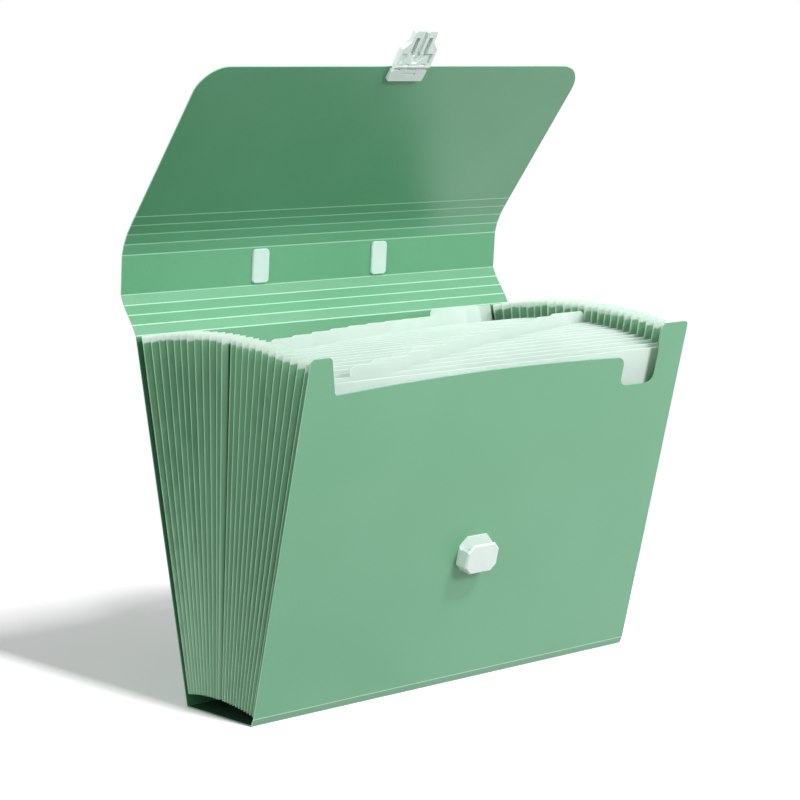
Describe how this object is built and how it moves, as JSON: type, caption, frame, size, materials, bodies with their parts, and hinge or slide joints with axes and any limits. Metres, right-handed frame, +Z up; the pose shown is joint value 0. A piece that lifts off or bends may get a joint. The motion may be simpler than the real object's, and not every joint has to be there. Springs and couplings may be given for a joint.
{
  "type": "expanding accordion file folder",
  "caption": "Upright expanding file with a creased plastic cover, a fan of stepped-tab pockets between pleated sides, a fold-over flap with a plug-in latch and a carrying handle.",
  "frame": {"origin": "middle of the underside of the base", "axes": "+Z up, -Y towards the front panel with the catch, +X to the right of someone facing the front"},
  "size_m": [0.33, 0.2111, 0.424],
  "materials": {
    "cover": "fine-grained satin green",
    "pocket_sheet": "frosted pale mint",
    "gusset": "fine-grained satin dark green",
    "handle": "frosted mint",
    "latch": "satin mint moulding"
  },
  "bodies": {
    "base": {"base_panel": "cover", "left_gusset": "gusset", "right_gusset": "gusset"},
    "back": {"back_panel": "cover", "back_lining": "pocket_sheet"},
    "sheet_01": {"divider_01": "pocket_sheet"},
    "sheet_02": {"divider_02": "pocket_sheet"},
    "sheet_03": {"divider_03": "pocket_sheet"},
    "sheet_04": {"divider_04": "pocket_sheet"},
    "sheet_05": {"divider_05": "pocket_sheet"},
    "sheet_06": {"divider_06": "pocket_sheet"},
    "sheet_07": {"divider_07": "pocket_sheet"},
    "sheet_08": {"divider_08": "pocket_sheet"},
    "sheet_09": {"divider_09": "pocket_sheet"},
    "sheet_10": {"divider_10": "pocket_sheet"},
    "sheet_11": {"divider_11": "pocket_sheet"},
    "sheet_12": {"divider_12": "pocket_sheet"},
    "sheet_13": {"divider_13": "pocket_sheet"},
    "sheet_14": {"divider_14": "pocket_sheet"},
    "sheet_15": {"divider_15": "pocket_sheet"},
    "sheet_16": {"divider_16": "pocket_sheet"},
    "sheet_17": {"divider_17": "pocket_sheet"},
    "sheet_18": {"divider_18": "pocket_sheet"},
    "sheet_19": {"divider_19": "pocket_sheet"},
    "sheet_20": {"divider_20": "pocket_sheet"},
    "sheet_21": {"divider_21": "pocket_sheet"},
    "sheet_22": {"divider_22": "pocket_sheet"},
    "sheet_23": {"divider_23": "pocket_sheet"},
    "front_sheet": {"front_lining": "pocket_sheet"},
    "front": {"front_panel": "cover", "catch_plate": "latch", "catch_housing": "latch"},
    "lower_fold": {"lower_strip_1": "cover", "lower_strip_2": "cover"},
    "band": {"lower_strip_3": "cover", "lower_strip_4": "cover", "band": "cover", "upper_strip_1": "cover", "upper_strip_2": "cover", "handle_caps": "handle", "handle_anchors": "handle", "handle_strap": "handle"},
    "upper_fold": {"upper_strip_3": "cover", "upper_strip_4": "cover"},
    "flap": {"flap": "cover", "latch_base": "latch", "latch_pin": "latch", "latch_plate": "latch"},
    "tongue": {"latch_tongue": "latch"}
  },
  "joints": [
    {"name": "open_fold", "type": "hinge", "parent": "base", "child": "back", "pos_m": [0, 0.032, 0.0004], "axis": [1, 0, 0], "range_deg": [-8, 14.2], "deforming": ["left_gusset", "right_gusset"]},
    {"name": "front_fold", "type": "hinge", "parent": "base", "child": "front", "pos_m": [0, -0.032, 0.0004], "axis": [1, 0, 0], "range_deg": [-16.4, 9.33]},
    {"name": "pleat_01", "type": "hinge", "parent": "back", "child": "sheet_01", "pos_m": [0, 0.03004, 0.00082], "axis": [1, 0, 0], "range_deg": [-2.06, 1.25]},
    {"name": "pleat_02", "type": "hinge", "parent": "sheet_01", "child": "sheet_02", "pos_m": [0, 0.02744, 0.00129], "axis": [1, 0, 0], "range_deg": [-1.93, 1.17]},
    {"name": "pleat_03", "type": "hinge", "parent": "sheet_02", "child": "sheet_03", "pos_m": [0, 0.02483, 0.00171], "axis": [1, 0, 0], "range_deg": [-1.8, 1.1]},
    {"name": "pleat_04", "type": "hinge", "parent": "sheet_03", "child": "sheet_04", "pos_m": [0, 0.0222, 0.00205], "axis": [1, 0, 0], "range_deg": [-1.74, 1.06]},
    {"name": "pleat_05", "type": "hinge", "parent": "sheet_04", "child": "sheet_05", "pos_m": [0, 0.01957, 0.00234], "axis": [1, 0, 0], "range_deg": [-1.48, 0.92]},
    {"name": "pleat_06", "type": "hinge", "parent": "sheet_05", "child": "sheet_06", "pos_m": [0, 0.01693, 0.00258], "axis": [1, 0, 0], "range_deg": [-1.35, 0.85]},
    {"name": "pleat_07", "type": "hinge", "parent": "sheet_06", "child": "sheet_07", "pos_m": [0, 0.01429, 0.00277], "axis": [1, 0, 0], "range_deg": [-1.42, 0.89]},
    {"name": "pleat_08", "type": "hinge", "parent": "sheet_07", "child": "sheet_08", "pos_m": [0, 0.01165, 0.00292], "axis": [1, 0, 0], "range_deg": [-1.74, 1.06]},
    {"name": "pleat_09", "type": "hinge", "parent": "sheet_08", "child": "sheet_09", "pos_m": [0, 0.009, 0.003], "axis": [1, 0, 0], "range_deg": [-1.61, 0.99]},
    {"name": "pleat_10", "type": "hinge", "parent": "sheet_09", "child": "sheet_10", "pos_m": [0, 0.00636, 0.00303], "axis": [1, 0, 0], "range_deg": [-1.54, 0.96]},
    {"name": "pleat_11", "type": "hinge", "parent": "sheet_10", "child": "sheet_11", "pos_m": [0, 0.00371, 0.00301], "axis": [1, 0, 0], "range_deg": [-1.42, 0.89]},
    {"name": "pleat_12", "type": "hinge", "parent": "sheet_11", "child": "sheet_12", "pos_m": [0, 0.00106, 0.00293], "axis": [1, 0, 0], "range_deg": [-1.16, 0.74]},
    {"name": "pleat_13", "type": "hinge", "parent": "sheet_12", "child": "sheet_13", "pos_m": [0, -0.00158, 0.00282], "axis": [1, 0, 0], "range_deg": [-1.42, 0.89]},
    {"name": "pleat_14", "type": "hinge", "parent": "sheet_13", "child": "sheet_14", "pos_m": [0, -0.00423, 0.00266], "axis": [1, 0, 0], "range_deg": [-1.16, 0.74]},
    {"name": "pleat_15", "type": "hinge", "parent": "sheet_14", "child": "sheet_15", "pos_m": [0, -0.00687, 0.00247], "axis": [1, 0, 0], "range_deg": [-1.29, 0.81]},
    {"name": "pleat_16", "type": "hinge", "parent": "sheet_15", "child": "sheet_16", "pos_m": [0, -0.0095, 0.00223], "axis": [1, 0, 0], "range_deg": [-1.1, 0.7]},
    {"name": "pleat_17", "type": "hinge", "parent": "sheet_16", "child": "sheet_17", "pos_m": [0, -0.01214, 0.00195], "axis": [1, 0, 0], "range_deg": [-1.42, 0.89]},
    {"name": "pleat_18", "type": "hinge", "parent": "sheet_17", "child": "sheet_18", "pos_m": [0, -0.01476, 0.00163], "axis": [1, 0, 0], "range_deg": [-1.1, 0.7]},
    {"name": "pleat_19", "type": "hinge", "parent": "sheet_18", "child": "sheet_19", "pos_m": [0, -0.01739, 0.00127], "axis": [1, 0, 0], "range_deg": [-1.29, 0.81]},
    {"name": "pleat_20", "type": "hinge", "parent": "sheet_19", "child": "sheet_20", "pos_m": [0, -0.02, 0.00087], "axis": [1, 0, 0], "range_deg": [-1.42, 0.89]},
    {"name": "pleat_21", "type": "hinge", "parent": "sheet_20", "child": "sheet_21", "pos_m": [0, -0.02261, 0.00043], "axis": [1, 0, 0], "range_deg": [-1.42, 0.89]},
    {"name": "pleat_22", "type": "hinge", "parent": "sheet_21", "child": "sheet_22", "pos_m": [0, -0.02521, -0.00007], "axis": [1, 0, 0], "range_deg": [-1.35, 0.85]},
    {"name": "pleat_23", "type": "hinge", "parent": "sheet_22", "child": "sheet_23", "pos_m": [0, -0.02781, -0.00061], "axis": [1, 0, 0], "range_deg": [-1.48, 0.92]},
    {"name": "pleat_24", "type": "hinge", "parent": "sheet_23", "child": "front_sheet", "pos_m": [0, -0.03039, -0.0012], "axis": [1, 0, 0], "range_deg": [-1.54, 0.96]},
    {"name": "lower_rear_crease", "type": "hinge", "parent": "back", "child": "lower_fold", "pos_m": [0, 0.08098, 0.23085], "axis": [1, 0, 0], "range_deg": [-20.48, 36.2]},
    {"name": "lower_front_crease", "type": "hinge", "parent": "lower_fold", "child": "band", "pos_m": [0, 0.08898, 0.24316], "axis": [1, 0, 0], "range_deg": [-20.48, 36.2]},
    {"name": "upper_rear_crease", "type": "hinge", "parent": "band", "child": "upper_fold", "pos_m": [0, 0.08902, 0.29463], "axis": [1, 0, 0], "range_deg": [-12.03, 21.2]},
    {"name": "upper_front_crease", "type": "hinge", "parent": "upper_fold", "child": "flap", "pos_m": [0, 0.08028, 0.30645], "axis": [1, 0, 0], "range_deg": [-18.57, 32.8]},
    {"name": "tongue_hinge", "type": "hinge", "parent": "flap", "child": "tongue", "pos_m": [0, 0.00383, 0.4004], "axis": [1, 0, 0], "range_deg": [-35, 7]}
  ],
  "couplings": [
    {"joint": "front_fold", "follows": "open_fold", "ratio": -1.1408},
    {"joint": "pleat_01", "follows": "open_fold", "ratio": -0.1307},
    {"joint": "pleat_02", "follows": "open_fold", "ratio": -0.12169},
    {"joint": "pleat_03", "follows": "open_fold", "ratio": -0.11268},
    {"joint": "pleat_04", "follows": "open_fold", "ratio": -0.10817},
    {"joint": "pleat_05", "follows": "open_fold", "ratio": -0.090141},
    {"joint": "pleat_06", "follows": "open_fold", "ratio": -0.081127},
    {"joint": "pleat_07", "follows": "open_fold", "ratio": -0.085634},
    {"joint": "pleat_08", "follows": "open_fold", "ratio": -0.10817},
    {"joint": "pleat_09", "follows": "open_fold", "ratio": -0.099155},
    {"joint": "pleat_10", "follows": "open_fold", "ratio": -0.094648},
    {"joint": "pleat_11", "follows": "open_fold", "ratio": -0.085634},
    {"joint": "pleat_12", "follows": "open_fold", "ratio": -0.067606},
    {"joint": "pleat_13", "follows": "open_fold", "ratio": -0.085634},
    {"joint": "pleat_14", "follows": "open_fold", "ratio": -0.067606},
    {"joint": "pleat_15", "follows": "open_fold", "ratio": -0.07662},
    {"joint": "pleat_16", "follows": "open_fold", "ratio": -0.063099},
    {"joint": "pleat_17", "follows": "open_fold", "ratio": -0.085634},
    {"joint": "pleat_18", "follows": "open_fold", "ratio": -0.063099},
    {"joint": "pleat_19", "follows": "open_fold", "ratio": -0.07662},
    {"joint": "pleat_20", "follows": "open_fold", "ratio": -0.085634},
    {"joint": "pleat_21", "follows": "open_fold", "ratio": -0.085634},
    {"joint": "pleat_22", "follows": "open_fold", "ratio": -0.081127},
    {"joint": "pleat_23", "follows": "open_fold", "ratio": -0.090141},
    {"joint": "pleat_24", "follows": "open_fold", "ratio": -0.094648},
    {"joint": "lower_rear_crease", "follows": "open_fold", "ratio": 2.5352},
    {"joint": "lower_front_crease", "follows": "open_fold", "ratio": 2.5352},
    {"joint": "upper_rear_crease", "follows": "open_fold", "ratio": 1.4789},
    {"joint": "upper_front_crease", "follows": "open_fold", "ratio": 2.2958}
  ]
}
